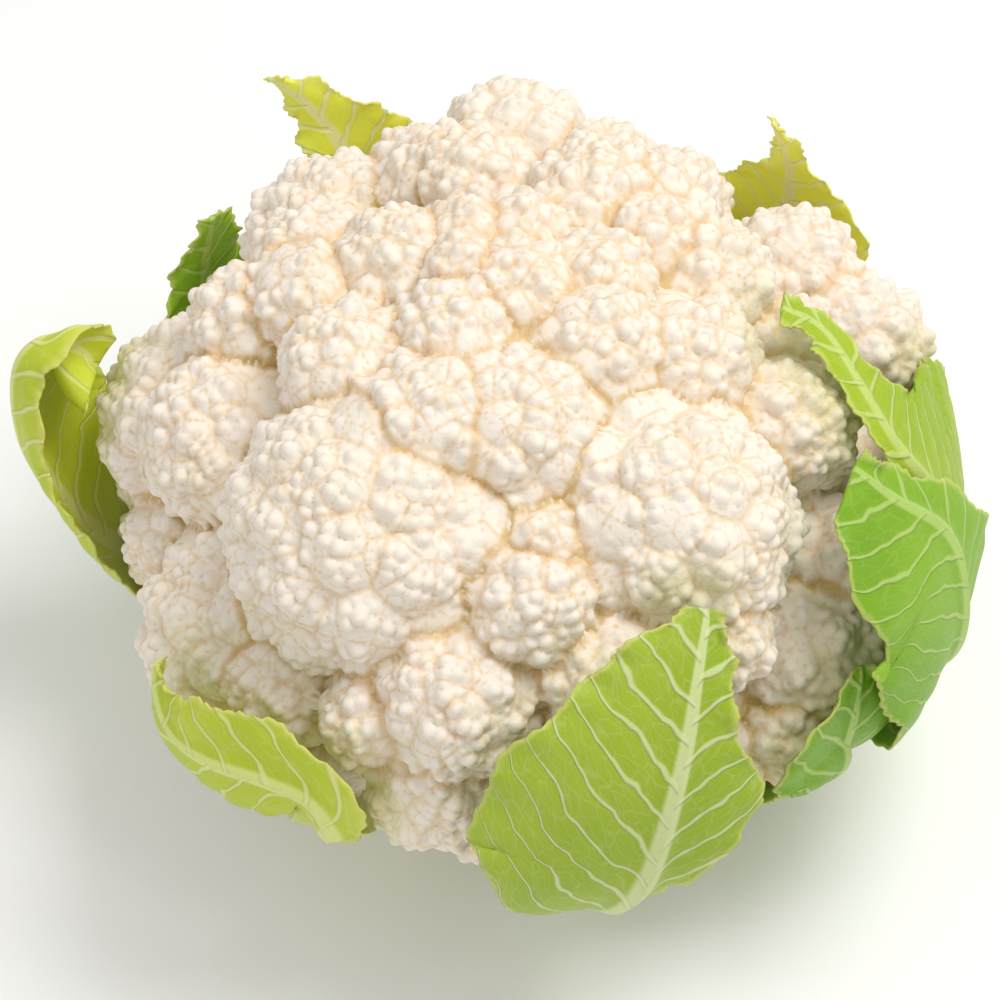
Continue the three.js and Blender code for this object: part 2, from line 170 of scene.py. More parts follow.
# Each leaf from the stalk to its tip, as in the solids. A row is around and down, where the midrib runs, its
# distance from the envelope, and the widths of the blade to its left and right as seen from outside.
LEAVES = {
    "leaf_front": {
        "rows": [
            (-84, 165, 9, 6.5, 6.5), (-82, 140, 9, 8, 8), (-79, 114, 8, 13, 7), (-76, 93, 8, 32, 9),
            (-72.5, 78, 7, 33, 18), (-68.5, 66, 5.5, 22, 8), (-65.5, 59, 4.5, 14, 7), (-62, 53, 3.5, 3, 2),
        ],
        "ruffle": 1, "waves": 4, "tuck": (0, 0),
    },
    "leaf_front_right": {
        "rows": [
            (-49, 165, 9, 6.5, 6.5), (-48, 140, 6, 10, 10), (-46, 118, 0.5, 9, 16), (-44, 102, 0.5, 13, 19),
            (-44, 90, 0.5, 17, 13), (-41, 77, 1, 2, 2),
        ],
        "ruffle": 0.8, "waves": 4, "tuck": (0, 0),
    },
    "leaf_right_outer": {
        "rows": [
            (-13, 165, 9, 6.5, 6.5), (-13, 140, 9, 13, 13), (-18, 117, 5, 18, 19), (-22, 100, 6, 22, 25),
            (-22, 84, 7, 31, 20), (-22, 69, 7.5, 32, 9), (-27, 57, 7, 22, 6), (-29, 50, 7, 10, 3),
        ],
        "ruffle": 1, "waves": 3, "tuck": (0, 0),
    },
    "leaf_right_inner": {
        "rows": [
            (23, 165, 9, 6.5, 6.5), (19, 140, 8, 14, 15), (9, 115, 4, 18, 26), (-3, 95, 3, 16, 34),
            (-13, 78, 3, 9, 34), (-16, 65, 3, 6, 29), (-16, 55, 3, 5, 20), (-11, 47, 3, 5, 7),
            (-4, 40, 3, 5, 5), (-3, 34, 3, 3, 3),
        ],
        "ruffle": 0.6, "waves": 5, "tuck": (0, 0),
    },
    "leaf_back_right": {
        "rows": [
            (60, 165, 9, 6.5, 6.5), (59, 140, 10, 15, 15), (56, 115, 8, 24, 22), (53, 95, 7, 26, 22),
            (51, 80, 8, 20, 12), (50, 71, 9, 9, 5), (50, 65, 10, 3, 2.5), (51, 59, 12, 0.8, 0.8),
        ],
        "ruffle": 0.8, "waves": 4, "tuck": (0, 0),
    },
    "leaf_back": {
        "rows": [
            (100, 165, 9, 6.5, 6.5), (102, 140, 8, 15, 15), (106, 115, 4, 26, 24), (110, 95, 3, 28, 24),
            (113, 83, 4, 22, 16), (115, 75, 5, 15, 9), (117, 70, 10, 9, 6), (120, 66, 16, 4, 3),
            (123, 64, 21, 0.8, 0.8),
        ],
        "ruffle": 0.8, "waves": 4, "tuck": (0, 0),
    },
    "leaf_back_left": {
        "rows": [
            (137, 165, 9, 6.5, 6.5), (138, 140, 9, 14, 13), (139, 115, 5, 18, 17), (139, 98, 4, 16, 15),
            (139, 86, 3.5, 11, 10), (139, 77, 3.5, 8, 5), (139, 71, 4, 2, 2),
        ],
        "ruffle": 0.8, "waves": 4, "tuck": (0, 0),
    },
    "leaf_left": {
        "rows": [
            (177, 165, 9, 6.5, 6.5), (178, 140, 9, 13, 13), (179, 118, 5, 20, 14), (179, 103, 6, 24, 12),
            (178, 92, 9, 26, 11), (176, 83, 15, 25, 9), (173, 74, 19, 19, 7), (171, 70, 16, 14, 6),
            (169, 72, 9, 8, 5), (168, 77, 3, 1, 1),
        ],
        "ruffle": 0.6, "waves": 4, "tuck": (11, 5),
    },
    "leaf_front_left": {
        "rows": [
            (-121, 165, 9, 6.5, 6.5), (-120, 142, 2, 9, 7), (-118, 121, 0, 9, 5), (-116, 106, 0, 9, 4),
            (-114, 94, 1, 11, 6), (-116, 85, 3, 14, 10), (-122, 83, 5, 15, 12), (-129, 84, 7, 15, 12),
            (-135, 84.5, 7, 12, 9), (-139, 81, 6, 6, 5), (-141, 77, 5, 1, 1),
        ],
        "ruffle": 0.6, "waves": 4, "tuck": (4, 0),
    },
}

# The leaves' midribs, teeth and blades. The first values are those of the solids.
BLADE_THICKNESS = 1.1
COARSE_TOOTH = 0.9
COARSE_STEPS = 15
RIB_HEIGHT = (5.0, 0.4)
RIB_REACH = (9.0, 1.5)
LEAF_CLEARANCE = 1.6
FINE_TOOTH = 0.75
TOOTH_PITCH = 3.1
TOOTH_PEAK = 0.7
FRILL = 0.5
FRILL_WAVES = 3.4
LEAF_ROWS = 160
LEAF_COLUMNS = 41
CLOSER_AT_EDGE = 0.85
ROOT_OVERLAP = -0.02

# The side veins: their spacing on the midrib, how they slant back from it and bend, how far the blade swells
# between them, and between which distances from the midrib and from the edge the swelling grows.
VEIN_SPACING = 8.0
VEIN_SLANT = 0.8
VEIN_BEND = 0.008
SWELL = 0.35
SWELL_FROM_RIB = (3, 7)
SWELL_FROM_EDGE = (0, 4)


def heading(around, down):
    """The direction from the curd's middle: sin(down) along the level direction, cos(down) upwards."""
    turn = np.radians(around)
    tilt = np.radians(down)
    return np.stack([np.sin(tilt) * np.cos(turn), np.sin(tilt) * np.sin(turn), np.cos(tilt)], axis=-1)


def on_envelope(around, down, inset=0.0):
    """A point of the ellipsoid: the direction times its half axes, each smaller by the inset."""
    way = heading(around, down)
    upright = np.where(way[..., 2] >= 0, CURD_RISE, CURD_DROP) - inset
    level = CURD_REACH - inset
    return np.stack([way[..., 0] * level, way[..., 1] * level, CURD_MIDDLE + way[..., 2] * upright], axis=-1)


def half_axes(points):
    """The ellipsoid's half axes at each point: it drops less below its middle than it rises above."""
    level = np.full(points.shape[:-1], CURD_REACH)
    upright = np.where(points[..., 2] >= CURD_MIDDLE, CURD_RISE, CURD_DROP)
    return np.stack([level, level, upright], axis=-1)


def unit(vectors):
    """Each vector divided by its length."""
    return vectors / np.linalg.norm(vectors, axis=-1, keepdims=True)


def ramp(values, start, end):
    """0 on the side of start and 1 on the side of end, straight between them."""
    return np.clip((values - start) / (end - start), 0, 1)


def from_middle(points):
    """Each point as seen from the curd's middle."""
    return points - np.array([0.0, 0.0, CURD_MIDDLE])


def outward_at(points):
    """The way square to the ellipsoid: each coordinate divided by its half axis squared."""
    return unit(from_middle(points) / half_axes(points) ** 2)


def laid_on_envelope(points):
    """Each point moved on its line from the curd's middle to where the ellipsoid's level is 1."""
    arm = from_middle(points)
    level = np.linalg.norm(arm / half_axes(points), axis=-1, keepdims=True)
    return arm / level + np.array([0.0, 0.0, CURD_MIDDLE])


def all_florets():
    """Every row of the floret lists, in the order of the solids."""
    return [row for rows in FLORETS.values() for row in rows]


def floret_centres(spread):
    """The centre of each floret's ball, which lies a radius less its lift inside the envelope, for radii
    that are those of the lists times the spread."""
    rows = np.array(all_florets(), float)
    rows[:, 2] *= spread
    return np.array([on_envelope(a, d, r - lift) for a, d, r, lift in rows]), rows[:, 2]


def floret_frames():
    """For each floret the three directions of its own frame: level to the side, upwards and outwards."""
    around, down = np.array(all_florets(), float)[:, :2].T
    outward = heading(around, down)
    turn = np.radians(around)
    aside = np.stack([-np.sin(turn), np.cos(turn), np.zeros(len(turn))], axis=-1)
    return np.stack([aside, np.cross(outward, aside), outward], axis=1)


SOLID_CENTRES, SOLID_RADII = floret_centres(1.0)
CENTRES, RADII = floret_centres(SPREAD)
FRAMES = floret_frames()


# Meshes

def triangle_rows(count):
    """The corners of a triangle cut into count rows, as whole-number weights, and its small triangles."""
    first, second = np.meshgrid(np.arange(count + 1), np.arange(count + 1), indexing="ij")
    inside = first + second <= count
    number = np.full(first.shape, -1)
    number[inside] = np.arange(inside.sum())
    weights = np.stack([first[inside], second[inside], count - first[inside] - second[inside]], axis=-1)
    up = first + second <= count - 1
    i, j = first[up], second[up]
    pointing_up = np.stack([number[i, j], number[i + 1, j], number[i, j + 1]], axis=-1)
    down = first + second <= count - 2
    i, j = first[down], second[down]
    pointing_down = np.stack([number[i + 1, j], number[i + 1, j + 1], number[i, j + 1]], axis=-1)
    return weights, np.concatenate([pointing_up, pointing_down])


GOLDEN = (1 + math.sqrt(5)) / 2
ICOSA_CORNERS = unit(np.array([
    (-1, GOLDEN, 0), (1, GOLDEN, 0), (-1, -GOLDEN, 0), (1, -GOLDEN, 0),
    (0, -1, GOLDEN), (0, 1, GOLDEN), (0, -1, -GOLDEN), (0, 1, -GOLDEN),
    (GOLDEN, 0, -1), (GOLDEN, 0, 1), (-GOLDEN, 0, -1), (-GOLDEN, 0, 1),
], float))
ICOSA_FACES = np.array([
    (0, 11, 5), (0, 5, 1), (0, 1, 7), (0, 7, 10), (0, 10, 11), (1, 5, 9), (5, 11, 4), (11, 10, 2),
    (10, 7, 6), (7, 1, 8), (3, 9, 4), (3, 4, 2), (3, 2, 6), (3, 6, 8), (3, 8, 9), (4, 9, 5),
    (2, 4, 11), (6, 2, 10), (8, 6, 7), (9, 8, 1),
])

# The angle between neighbouring corners as seen from the centre, in radians.
ICOSA_ANGLE = 1.107


def even_sphere(rows):
    """A sphere of even triangles: each face of an icosahedron cut into rows, its corners pushed out to 1."""
    weights, small = triangle_rows(rows)
    corners = ICOSA_CORNERS[ICOSA_FACES]
    points = unit(np.einsum("wk,fkx->fwx", weights.astype(float), corners)).reshape(-1, 3)
    faces = (small[None] + len(weights) * np.arange(len(ICOSA_FACES))[:, None, None]).reshape(-1, 3)
    _, kept, merged = np.unique(np.round(points, 5) + 0.0, axis=0, return_index=True, return_inverse=True)
    return points[kept], merged.reshape(-1)[faces]


def closer_at_top(ways):
    """The directions drawn towards +Z: their tilt t becomes t (c + (1 - c) (t / pi)^2)."""
    tilt = np.arccos(np.clip(ways[:, 2], -1, 1))
    drawn = tilt * (FACING_OUT + (1 - FACING_OUT) * (tilt / np.pi) ** 2)
    level = np.sin(drawn) / np.maximum(np.sin(tilt), 1e-6)
    return np.stack([ways[:, 0] * level, ways[:, 1] * level, np.cos(drawn)], axis=-1)


def add_mesh(name, points, faces, marks):
    """A mesh object in metres from whole arrays, with one float attribute for each of the marks."""
    mesh = bpy.data.meshes.new(name)
    corners = faces.shape[1]
    mesh.vertices.add(len(points))
    mesh.vertices.foreach_set("co", (points * METRES).astype(np.float32).ravel())
    mesh.loops.add(faces.size)
    mesh.loops.foreach_set("vertex_index", faces.astype(np.int32).ravel())
    mesh.polygons.add(len(faces))
    mesh.polygons.foreach_set("loop_start", np.arange(0, faces.size, corners, dtype=np.int32))
    mesh.polygons.foreach_set("use_smooth", np.ones(len(faces), dtype=bool))
    for mark, values in marks.items():
        attribute = mesh.attributes.new(mark, "FLOAT", "POINT")
        attribute.data.foreach_set("value", values.astype(np.float32))
    mesh.update(calc_edges=True)
    mesh.validate()
    piece = bpy.data.objects.new(name, mesh)
    bpy.context.collection.objects.link(piece)
    return piece


def dress(piece, node, material):
    """The piece rides on the one body, stands in for a CAD node, which it hides, and takes the material
    given.
    """
    piece.data.materials.append(material)
    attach(piece, "root")
    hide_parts(node)


# The florets

def even_tops():
    """The tops of 32 nodules round a ball: the corners and the face centres of an icosahedron."""
    return np.concatenate([ICOSA_CORNERS, unit(ICOSA_CORNERS[ICOSA_FACES].sum(axis=1))])


EVEN_TOPS = even_tops()


def large_nodules(serial):
    """The large nodules of one floret, in its own frame with +Z outwards: tops squeezed to the outer side,
    turned by the floret's serial number, and uneven by a sine of their place."""
    x, y, z = EVEN_TOPS.T
    tilt = np.arccos(np.clip(z, -1, 1))
    squeezed = tilt - NODULE_SQUEEZE * tilt * (1 - tilt / np.pi)
    turn = np.arctan2(y, x) + SPIN_STEP * serial
    ring = np.sin(squeezed)
    ways = np.stack([ring * np.cos(turn), ring * np.sin(turn), np.cos(squeezed)], axis=-1)
    wave = np.sin(40 * x + 25 * y + 9 * z + serial)
    return ways, NODULE_HEIGHT - NODULE_UNEVENNESS * (0.5 + 0.5 * wave)


def scattered_ways(radius, spacing, draws):
    """Directions about a spacing apart on a ball: a spiral of even steps, each moved by a random draw."""
    count = int(round(4 * np.pi * radius ** 2 / (0.866 * spacing ** 2)))
    step = np.arange(count) + 0.5
    level = 1 - 2 * step / count
    turn = np.pi * (1 + math.sqrt(5)) * step
    ring = np.sqrt(1 - level ** 2)
    ways = np.stack([ring * np.cos(turn), ring * np.sin(turn), level], axis=-1)
    return unit(ways + draws.normal(0, SCATTER * spacing / radius, ways.shape))


def domes_at(points, tops, heights, fall):
    """The height of each dome at each point: that of its top less fall times the distance squared."""
    points, tops = points.astype(np.float32), tops.astype(np.float32)
    squares = (points ** 2).sum(axis=1)[:, None] + (tops ** 2).sum(axis=1)
    return heights.astype(np.float32) - fall * (squares - 2 * points @ tops.T)


def two_highest(domes):
    """The highest dome at each point and how far the next one stays below it."""
    best = np.partition(domes, -2, axis=1)[:, -2:].astype(float)
    return best[:, 1], best[:, 1] - best[:, 0]


def large_domes(ways, serial):
    """A floret's large nodules in each direction from its centre, in millimetres: those of the solids, drawn
    towards their mean, because the finer ones add to them."""
    tops, heights = large_nodules(serial)
    domes = domes_at(ways @ FRAMES[serial].T, tops, heights, CREASE_DEPTH / NODULE_REACH ** 2)
    return (MEAN_REACH + LARGE_SHARE * (domes - MEAN_REACH)) * RADII[serial]


def above_core(points):
    """The distance of each point from the core, on its line from the curd's middle."""
    arm = from_middle(points)
    level = np.linalg.norm(arm / half_axes(points), axis=-1)
    return np.linalg.norm(arm, axis=-1) * (1 - CORE_SHARE / level)


def above_florets(points, near):
    """The distance of each point above the large nodules of each near floret, on its line from that
    floret's centre, and the directions of those lines."""
    arms = points[None] - CENTRES[near][:, None]
    lengths = np.linalg.norm(arms, axis=-1)
    ways = arms / np.maximum(lengths, 1e-3)[..., None]
    reaches = np.stack([large_domes(way, other).max(axis=1) for way, other in zip(ways, near)])
    return lengths - reaches, ways


def softness(points):
    """How softly florets grow into each other, in millimetres: more so near the top of the curd."""
    return BLEND + (TOP_BLEND - BLEND) * ramp(points[:, 2], *TOP_BLEND_HEIGHTS)


def grown_together(serial, ways):
    """Where the soft union of all florets and the core lies in each direction from a floret's centre: there
    the sum of exp(-d / softness) is 1, for the distances d above each. It is found by steps of the softness
    times that sum's logarithm, longer where the surface lies aslant. Also the way outwards, how far each
    point lies below a neighbour, how far apart the two nearest florets are, and how far, up to 1, a point is
    unfit to show because it lies too much aslant or hasn't come to rest on the union."""
    apart = np.linalg.norm(CENTRES - CENTRES[serial], axis=1)
    near = np.flatnonzero(apart < RADII + RADII[serial] + 3 * TOP_BLEND)
    reach = large_domes(ways, serial).max(axis=1).astype(float)
    limit = reach + 2 * softness(CENTRES[serial] + ways * reach[:, None])
    for step in range(MEETING_STEPS + 1):
        points = CENTRES[serial] + ways * reach[:, None]
        distances, from_centres = above_florets(points, near)
        soft = softness(points)
        shares = np.exp(-distances / soft)
        total = shares.sum(axis=0) + np.exp(-above_core(points) / soft)
        mean_way = np.einsum("fp,fpx->px", shares / total, from_centres)
        outward = unit(mean_way + ENVELOPE_SHARE * outward_at(points))
        slant = (outward * ways).sum(axis=1)
        if step < MEETING_STEPS:
            reach = np.minimum(reach + soft * np.log(total) / np.maximum(slant, LEAST_SLANT), limit)
    nearest = np.partition(distances, 1, axis=0)[:2]
    below = distances[near.tolist().index(serial)] - nearest[0]
    unsettled = ramp(np.abs(np.log(total)), *UNSETTLED_HIDES)
    hidden = np.maximum(ramp(slant, *SLANT_HIDES), unsettled)
    return points, outward, below, nearest[1] - nearest[0], hidden


def no_closer(points, others, apart):
    """Which points keep a distance from the others and, taken in their order, from each other."""
    squares = ((points[:, None] - others[None]) ** 2).sum(axis=-1)
    free = (squares >= apart ** 2).all(axis=1)
    crowded = ((points[:, None] - points[None]) ** 2).sum(axis=-1) < apart ** 2
    kept = np.zeros(len(points), dtype=bool)
    for number in range(len(points)):
        if free[number]:
            kept[number] = True
            free &= ~crowded[number]
    return kept


def spread_tops(spacing, seed):
    """Tops of nodules about a spacing apart all over the union: each floret gives many candidates on its own
    ground, and those stay that aren't too close to one that is there already."""
    found = np.zeros((0, 3), np.float32)
    for serial, radius in enumerate(RADII):
        ways = scattered_ways(radius, spacing * CANDIDATE_SHARE, np.random.default_rng(seed + serial))
        points, _, below, _, hidden = grown_together(serial, ways)
        points = points[(below < TOP_BELOW) & (hidden < TOP_HIDDEN)].astype(np.float32)
        close = np.linalg.norm(found - CENTRES[serial], axis=1) < 2 * radius
        found = np.concatenate([found, points[no_closer(points, found[close], CLOSEST_SHARE * spacing)]])
    return found.astype(float)


def relief(points, tops, heights, spacing, depth):
    """The domes on a stretch of the union, and how far the next one stays below the highest. Each dome falls
    by its depth at half a spacing from its top, and half of the depth is added, so that the mean stays."""
    middle = points.mean(axis=0)
    reach = np.linalg.norm(points - middle, axis=1).max() + spacing
    close = np.linalg.norm(tops - middle, axis=1) < reach
    domes = domes_at(points - middle, tops[close] - middle, heights[close], depth * (2 / spacing) ** 2)
    highest, gap = two_highest(domes)
    return np.maximum(highest, -1.5 * depth) + 0.5 * depth, gap


MIDDLE_TOPS = spread_tops(MIDDLE_SPACING, MIDDLE_SEED)
LEVEL_TOPS = np.zeros(len(MIDDLE_TOPS))
FINE_TOPS = spread_tops(FINE_SPACING, FINE_SEED)


def fine_heights():
    """The height of each fine nodule's top: that of the middle nodules there, and a random unevenness. They
    are worked out a thousand at a time, which keeps the tables small."""
    heights = np.zeros(len(FINE_TOPS))
    at_once = 1000
    for start in range(0, len(FINE_TOPS), at_once):
        part = slice(start, start + at_once)
        heights[part], _ = relief(FINE_TOPS[part], MIDDLE_TOPS, LEVEL_TOPS, MIDDLE_SPACING, MIDDLE_DEPTH)
    return heights + np.random.default_rng(HEIGHT_SEED).normal(0, FINE_UNEVENNESS, len(heights))


FINE_HEIGHTS = fine_heights()


def closeness_to_leaves(points, serial, leaf_points):
    """1 where a leaf touches the points of a floret, falling off with the square of their distance: the mask
    of painted light bounced off the leaves.
    """
    centre = CENTRES[serial]
    close = leaf_points[np.linalg.norm(leaf_points - centre, axis=1) < RADII[serial] + 2.5 * LEAF_BOUNCE_REACH]
    if len(close) == 0:
        return np.zeros(len(points))
    squares = -domes_at(points - centre, close - centre, np.zeros(len(close)), 1.0).max(axis=1)
    return np.exp(-np.maximum(squares, 0) / LEAF_BOUNCE_REACH ** 2)


def floret_shape(serial, leaf_points):
    """One floret: a ball moved onto the union, with middle and fine nodules, as points, faces and marks."""
    length = ICOSA_ANGLE * NODULE_HEIGHT * RADII[serial]
    rows = max(LEAST_ROWS, int(round(FACING_OUT * length / FLORET_EDGE)))
    ways, faces = even_sphere(rows)
    ways = closer_at_top(ways) @ FRAMES[serial]
    points, outward, below, between, hidden = grown_together(serial, ways)
    _, middle_gap = relief(points, MIDDLE_TOPS, LEVEL_TOPS, MIDDLE_SPACING, MIDDLE_DEPTH)
    rise, fine_gap = relief(points, FINE_TOPS, FINE_HEIGHTS, FINE_SPACING, FINE_DEPTH)
    _, large_gap = two_highest(large_domes(ways, serial))
    large_fold = LARGE_FOLD_SHARE * np.exp(-large_gap / LARGE_FOLD_REACH)
    # The marks place painted crevice shade and bounced light, the olive deep in the gaps, and painted light
    # from the leaves.
    marks = {
        "crease": np.exp(-fine_gap / CREASE_REACH),
        "fold": np.maximum(large_fold, np.exp(-middle_gap / MIDDLE_FOLD_REACH)),
        "gap": np.exp(-between / MEETING_REACH),
        "deep": ramp(above_core(points), *DEEP_HEIGHTS),
        # Closeness to the leaves, for the painted light bounced off them.
        "leaf_bounce": closeness_to_leaves(points, serial, leaf_points),
    }
    rise = rise - GROOVE_DEPTH * np.exp(-between / GROOVE_WIDTH)
    rise = rise - SINK * np.maximum(hidden, ramp(below, *DEPTH_SINKS))
    return points + outward * rise[:, None], faces, marks


def joined(shapes):
    """Several shapes as one: their points and marks in a row, their faces renumbered."""
    shift = 0
    faces = []
    for points, own_faces, _ in shapes:
        faces.append(own_faces + shift)
        shift += len(points)
    marks = {mark: np.concatenate([shape[2][mark] for shape in shapes]) for mark in shapes[0][2]}
    return np.concatenate([shape[0] for shape in shapes]), np.concatenate(faces), marks


def make_florets(material, leaf_shapes):
    """A piece for each ring of florets, with painted light bounced off the leaves where leaves are close. One
    point of a leaf in so many is enough for that."""
    leaf_points = np.concatenate([shape[0][::LEAF_POINT_STEP] for shape in leaf_shapes.values()])
    serial = 0
    for name, rows in FLORETS.items():
        shapes = []
        for _ in rows:
            shapes.append(floret_shape(serial, leaf_points))
            serial += 1
        dress(add_mesh(name, *joined(shapes)), "curd", material)


# The core and its branches

def make_core(material):
    """The core between the florets: the envelope made smaller, flat where it stands on the stalk, with
    small nodules like those of the florets."""
    ways, faces = even_sphere(CORE_ROWS)
    upright = np.where(ways[:, 2] >= 0, CURD_RISE, CURD_DROP)
    level = np.hypot(ways[:, 0], ways[:, 1])
    envelope = 1 / np.hypot(level / CURD_REACH, ways[:, 2] / upright)
    draws = np.random.default_rng(CORE_SEED)
    radius = CORE_SHARE * CURD_REACH
    tops = scattered_ways(radius, CORE_SPACING, draws)
    heights = draws.normal(0, CORE_UNEVENNESS, len(tops))
    domes = domes_at(ways * radius, tops * radius, heights, CORE_DEPTH * (2 / CORE_SPACING) ** 2)
    reach = CORE_SHARE * envelope + domes.max(axis=1)
    depth = CURD_MIDDLE - STALK_HEIGHT
    over_stalk = (ways[:, 2] < 0) & (level * depth < -ways[:, 2] * STALK_RADIUS)
    reach = np.where(over_stalk, depth / np.maximum(-ways[:, 2], 0.1), reach)
    points = ways * reach[:, None] + np.array([0, 0, CURD_MIDDLE])
    dress(add_mesh("curd_core", points, faces, {"stem": np.zeros(len(points))}), "curd", material)


def turned_faces(rows, sides):
    """The triangles of rows of rings, each of so many sides, and of the fans that close both ends. The two
    end points follow the rings."""
    i, j = np.meshgrid(np.arange(rows - 1), np.arange(sides), indexing="ij")
    a = (i * sides + j).ravel()
    b = (i * sides + (j + 1) % sides).ravel()
    k = np.arange(sides)
    after = (k + 1) % sides
    top = (rows - 1) * sides
    return np.concatenate([
        np.stack([a, b, b + sides], axis=-1),
        np.stack([a, b + sides, a + sides], axis=-1),
        np.stack([np.full(sides, rows * sides), after, k], axis=-1),
        np.stack([np.full(sides, rows * sides + 1), top + k, top + after], axis=-1),
    ])


def tube(centres, radii, sides):
    """A closed round tube along centres: rings square to the way on, and a point at each end."""
    ways = unit(np.gradient(centres, axis=0))
    side = unit(np.cross(ways, np.array([0.0, 0.0, 1.0]) + 1e-3))
    other = np.cross(ways, side)
    turn = 2 * np.pi * np.arange(sides) / sides
    ring = side[:, None] * np.cos(turn)[None, :, None] + other[:, None] * np.sin(turn)[None, :, None]
    points = (centres[:, None] + ring * radii[:, None, None]).reshape(-1, 3)
    return np.concatenate([points, centres[[0, -1]]]), turned_faces(len(centres), sides)


BRANCH_RINGS = 26
BRANCH_SIDES = 40


def make_branches(material):
    """A branch for each of the lowest florets, from the stalk's top, thicker where it meets the floret."""
    shapes = []
    for serial, (around, down, radius, _) in enumerate(all_florets()):
        if down < BRANCH_FROM_DOWN:
            continue
        turn = math.radians(around)
        x, y = BRANCH_ROOT_RING * math.cos(turn), BRANCH_ROOT_RING * math.sin(turn)
        root = np.array([x, y, STALK_HEIGHT + BRANCH_ROOT_RADIUS])
        share = np.linspace(0, 1, BRANCH_RINGS)
        centres = root + (CENTRES[serial] - root) * share[:, None]
        radii = BRANCH_ROOT_RADIUS + (BRANCH_TOP_SHARE * radius - BRANCH_ROOT_RADIUS) * share ** 1.5
        points, faces = tube(centres, radii, BRANCH_SIDES)
        grooves = 1 + 0.04 * np.sin(21 * np.arctan2(points[:, 1], points[:, 0]) + serial)
        axis = np.concatenate([np.repeat(centres, BRANCH_SIDES, axis=0), centres[[0, -1]]])
        points = axis + (points - axis) * grooves[:, None]
        shapes.append((points, faces, {"stem": np.ones(len(points))}))
    dress(add_mesh("curd_branches", *joined(shapes)), "curd", material)


# The stalk

# The stalk's rings from its cut face up, each as radius and height.
STALK_RINGS = np.array([
    (7.0, 0.0), (14.0, 0.0), (19.4, 0.0), (20.5, 0.12), (21.2, 0.7), (22.2, 2.2), (22.8, 4.0),
    (23.0, 7.0), (22.8, 10.5), (22.2, 12.6), (21.3, 14.2), (20.4, 14.9), (19.0, 15.0), (10.0, 15.0),
])
STALK_SIDES = 120


def make_stalk(material):
    """The stalk: rings of a radius that bulges between its ends, with soft ridges, and a flat cut face."""
    turn = 2 * np.pi * np.arange(STALK_SIDES) / STALK_SIDES
    ridges = 1 - 0.012 * (1 + np.sin(9 * turn)) * 0.5 - 0.008 * (1 + np.sin(23 * turn + 1)) * 0.5
    level = STALK_RINGS[:, :1] * ridges
    heights = np.repeat(STALK_RINGS[:, 1:], STALK_SIDES, 1)
    points = np.stack([level * np.cos(turn), level * np.sin(turn), heights], axis=-1).reshape(-1, 3)
    points = np.concatenate([points, [(0, 0, 0), (0, 0, STALK_HEIGHT)]])
    faces = turned_faces(len(STALK_RINGS), STALK_SIDES)
    dress(add_mesh("stalk_dressed", points, faces, {}), "stalk", material)


# The leaves

def smooth_rows(rows, along):
    """The values of the rows at shares of the length: a cubic through each pair of rows, whose slopes are
    half the difference of the rows on either side. The end rows are carried on in a straight line."""
    table = np.array(rows, float)
    table = np.concatenate([[2 * table[0] - table[1]], table, [2 * table[-1] - table[-2]]])
    place = along * (len(rows) - 1)
    row = np.clip(np.floor(place).astype(int), 0, len(rows) - 2)
    t = (place - row)[:, None]
    before, value, following, after = (table[row + k] for k in range(4))
    leaving = (following - before) / 2
    arriving = (after - value) / 2
    bend = 3 * (following - value) - 2 * leaving - arriving
    twist = 2 * (value - following) + leaving + arriving
    return value + t * (leaving + t * (bend + t * twist))


def climb_over_florets(points, outward):
    """How far each point has to go outwards to be a clearance away from every floret's ball."""
    climb = np.zeros(points.shape[:-1])
    for centre, radius in zip(SOLID_CENTRES, SOLID_RADII):
        arm = points - centre
        along = (arm * outward).sum(axis=-1)
        room = along ** 2 - (arm ** 2).sum(axis=-1) + (NODULE_HEIGHT * radius + LEAF_CLEARANCE) ** 2
        climb = np.where(room > 0, np.maximum(climb, np.sqrt(np.maximum(room, 0)) - along), climb)
    return climb


def tooth_reach(along, length, serial):
    """How far the edge stands out: the solids' coarse teeth, straight between their steps, and fine pointed
    ones on them, of a lopsided sawtooth whose pitch wanders with a sine."""
    steps = along * COARSE_STEPS
    swing = np.abs((steps % 2) - 1) * 2 - 1
    coarse = -COARSE_TOOTH * swing
    phase = along * length / TOOTH_PITCH + 0.6 * np.sin(along * 17 + serial)
    saw = phase % 1.0
    fine = FINE_TOOTH * np.where(saw < TOOTH_PEAK, saw / TOOTH_PEAK, (1 - saw) / (1 - TOOTH_PEAK))
    return coarse + fine - 0.5 * FINE_TOOTH


def leaf_spine(leaf, along):
    """The midrib's rows, its points on the envelope and the way across the blade at each of them."""
    rows = smooth_rows(leaf["rows"], along)
    root = on_envelope(rows[:, 0], rows[:, 1])
    ahead = smooth_rows(leaf["rows"], np.minimum(along + 0.02, 1))
    behind = smooth_rows(leaf["rows"], np.maximum(along - 0.02, ROOT_OVERLAP))
    way = on_envelope(ahead[:, 0], ahead[:, 1]) - on_envelope(behind[:, 0], behind[:, 1])
    return rows, root, unit(np.cross(way, outward_at(root)))


